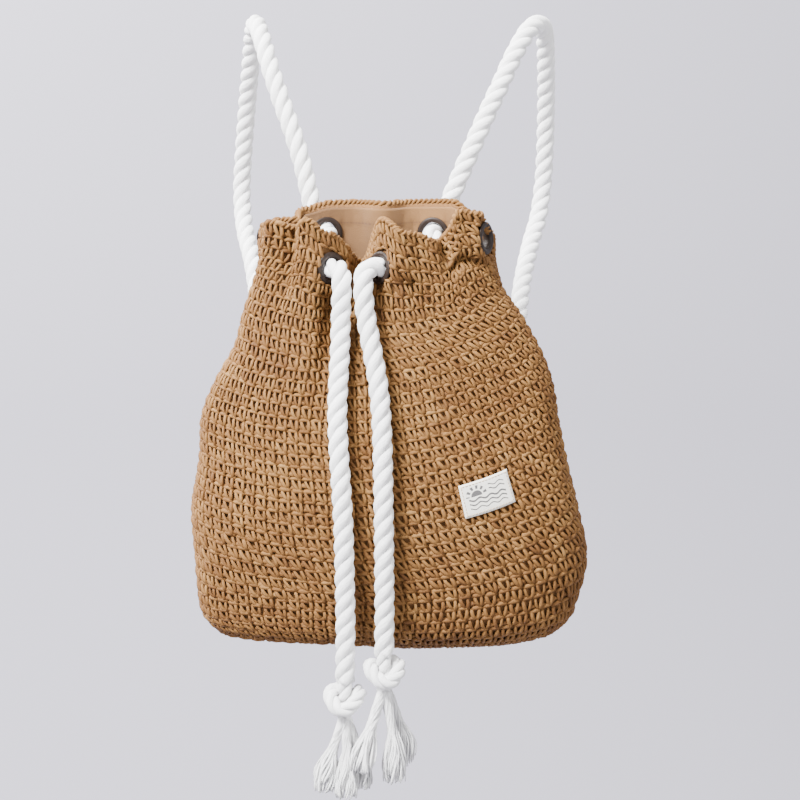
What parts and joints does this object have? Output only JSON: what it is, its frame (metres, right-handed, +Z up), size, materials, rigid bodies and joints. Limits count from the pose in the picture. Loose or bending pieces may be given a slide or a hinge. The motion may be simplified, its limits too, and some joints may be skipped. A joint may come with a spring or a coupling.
{
  "type": "drawstring backpack",
  "caption": "Crocheted straw drawstring backpack with a gathered, cloth-lined mouth, thick white rope straps through eyelets, knotted tassel ends and a small sewn label.",
  "frame": {"origin": "midway between the two straps at the height of the shoulders they hang from", "axes": "+Z up as worn, -Y out from the wearer's back to the front of the bag with its tails, +X to the right of someone looking at that front"},
  "size_m": [0.3529, 0.3546, 0.6876],
  "materials": {
    "straw": "matte",
    "lining": "matte",
    "rope": "matte",
    "eyelet": "gloss",
    "label": "matte"
  },
  "bodies": {
    "root": {"bag_shell": "straw", "lining": "lining", "eyelet_front_left": "eyelet", "eyelet_front_right": "eyelet", "eyelet_right": "eyelet", "eyelet_back_right": "eyelet", "eyelet_back_left": "eyelet", "eyelet_left": "eyelet", "eyelet_low_right": "eyelet", "eyelet_low_left": "eyelet", "strap_left": "rope", "strap_right": "rope", "inner_rope_left": "rope", "inner_rope_right": "rope", "tail_left": "rope", "tail_right": "rope", "knot_left": "rope", "knot_right": "rope", "tassel_left": "rope", "tassel_right": "rope", "stop_knot_left": "rope", "stop_knot_right": "rope", "label": "label"}
  },
  "joints": []
}
